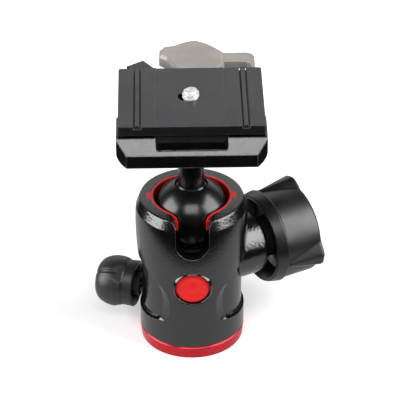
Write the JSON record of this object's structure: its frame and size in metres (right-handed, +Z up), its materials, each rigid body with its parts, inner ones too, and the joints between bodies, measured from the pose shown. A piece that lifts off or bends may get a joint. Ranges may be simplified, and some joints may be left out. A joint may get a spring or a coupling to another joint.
{
  "type": "tripod ball head",
  "caption": "Compact ball head for a tripod: drop-notch housing, ball lock and pan lock knobs, lever clamp and camera plate with its screw",
  "frame": {"origin": "centre of the base's underside, at the mouth of its thread", "axes": "+Z up along the panning axis and the camera screw, -Y towards the drop notch and the badge, +X towards the ball lock knob; the knob's own axis stands 28 degrees from +X towards +Y"},
  "size_m": [0.089, 0.0707, 0.1073],
  "materials": {
    "anodised_red": "anodised, satin, bright red",
    "plain_steel": "turned and plated",
    "spring_steel": "tempered, oiled",
    "nylon_white": "plain nylon",
    "seat_nylon": "plain low-friction nylon",
    "core_nylon": "glass-filled nylon",
    "textured_black_paint": "fine textured powder coat, satin",
    "clamp_black_paint": "fine textured powder coat, satin",
    "cast_aluminium": "machined",
    "bezel_chrome": "polished ring",
    "badge_red": "gloss red enamel, bare",
    "ball_black": "black anodised, polished",
    "stem_black": "black anodised, satin",
    "wedge_brass": "machined",
    "pad_brass": "machined",
    "pin_brass": "turned",
    "knob_rubber": "soft-touch, matte",
    "cap_plastic": "matte, flat",
    "knob_plastic": "satin moulded plastic",
    "catch_plastic": "moulded plastic",
    "lever_taupe": "satin paint, warm grey",
    "plate_black_anodised": "black anodised, brushed along its length",
    "strip_rubber": "smooth grey rubber bead",
    "screw_chrome": "bright nickel plate"
  },
  "bodies": {
    "base": {"base_disc": "anodised_red", "base_thread_bush": "plain_steel", "pan_glide_ring": "nylon_white", "pan_washer": "plain_steel", "pan_circlip": "spring_steel"},
    "housing": {"housing": "textured_black_paint", "pan_hub": "cast_aluminium", "thrust_plate": "cast_aluminium", "ball_liner": "anodised_red", "badge_bezel": "bezel_chrome", "badge_disc": "badge_red"},
    "wedge": {"lock_wedge": "wedge_brass"},
    "ball_lock": {"lock_knob": "knob_rubber", "lock_knob_core": "core_nylon", "lock_screw": "plain_steel", "lock_knob_cap": "cap_plastic"},
    "piston": {"lift_piston": "cast_aluminium", "disc_spring": "spring_steel"},
    "pan_pad": {"brake_pad": "pad_brass"},
    "pan_lock": {"pan_knob": "knob_plastic", "pan_knob_insert": "plain_steel", "pan_screw": "plain_steel"},
    "seat": {"ball_seat": "seat_nylon"},
    "ball": {"ball": "ball_black"},
    "platform": {"stem": "stem_black", "clamp_body": "clamp_black_paint", "platform_screw": "plain_steel", "lever_spring": "spring_steel", "catch_pin": "plain_steel", "trip_pin": "pin_brass", "camera_plate": "plate_black_anodised", "grip_strip_left": "strip_rubber", "grip_strip_right": "strip_rubber"},
    "lever": {"clamp_lever": "lever_taupe", "lever_pin": "plain_steel"},
    "catch": {"safety_catch": "catch_plastic"},
    "screw_carrier": {"screw_washer": "plain_steel"},
    "camera_screw": {"camera_screw": "screw_chrome"}
  },
  "joints": [
    {"name": "pan_rotation", "type": "hinge", "parent": "base", "child": "housing", "pos_m": [0, 0, 0.015], "axis": [0, 0, 1], "continuous": true},
    {"name": "wedge_slide", "type": "slide", "parent": "housing", "child": "wedge", "axis": [0.8829, 0.4695, 0], "range_m": [0, 0.00125]},
    {"name": "ball_lock_turn", "type": "hinge", "parent": "wedge", "child": "ball_lock", "pos_m": [0, 0, 0.0325], "axis": [0.8829, 0.4695, 0], "range_deg": [0, 360.5]},
    {"name": "piston_slide", "type": "slide", "parent": "housing", "child": "piston", "axis": [0, 0, 1], "range_m": [-0.000315, 0]},
    {"name": "pan_pad_slide", "type": "slide", "parent": "housing", "child": "pan_pad", "axis": [-0.9563, 0.2924, 0], "range_m": [0, 0.0005]},
    {"name": "pan_lock_turn", "type": "hinge", "parent": "pan_pad", "child": "pan_lock", "pos_m": [0, 0, 0.0168], "axis": [-0.9563, 0.2924, 0], "range_deg": [0, 180.5]},
    {"name": "ball_azimuth", "type": "hinge", "parent": "housing", "child": "seat", "pos_m": [0, 0, 0.053], "axis": [0, 0, 1], "continuous": true},
    {"name": "ball_tilt", "type": "hinge", "parent": "seat", "child": "ball", "pos_m": [0, 0, 0.053], "axis": [1, 0, 0], "range_deg": [-35, 35]},
    {"name": "ball_twist", "type": "hinge", "parent": "ball", "child": "platform", "pos_m": [0, 0, 0.08], "axis": [0, 0, 1], "continuous": true},
    {"name": "clamp_lever_turn", "type": "hinge", "parent": "platform", "child": "lever", "pos_m": [0.0005, 0.0352, 0.098], "axis": [0, 0, 1], "range_deg": [0, 70], "stiffness_Nm_per_rad": 0.05, "springref_deg": -11.46},
    {"name": "safety_catch_turn", "type": "hinge", "parent": "platform", "child": "catch", "pos_m": [-0.0186, 0.0265, 0.1], "axis": [0, 0, 1], "range_deg": [0, 30], "stiffness_Nm_per_rad": 0.002, "springref_deg": -11.46},
    {"name": "camera_screw_slide", "type": "slide", "parent": "platform", "child": "screw_carrier", "axis": [1, 0, 0], "range_m": [-0.0014, 0]},
    {"name": "camera_screw_turn", "type": "hinge", "parent": "screw_carrier", "child": "camera_screw", "pos_m": [0, 0, 0.1], "axis": [0, 0, 1], "continuous": true}
  ],
  "couplings": [
    {"joint": "ball_lock_turn", "follows": "wedge_slide", "rad_per_m": 5026.5},
    {"joint": "piston_slide", "follows": "wedge_slide", "ratio": -0.25},
    {"joint": "pan_lock_turn", "follows": "pan_pad_slide", "rad_per_m": 6283.2}
  ]
}
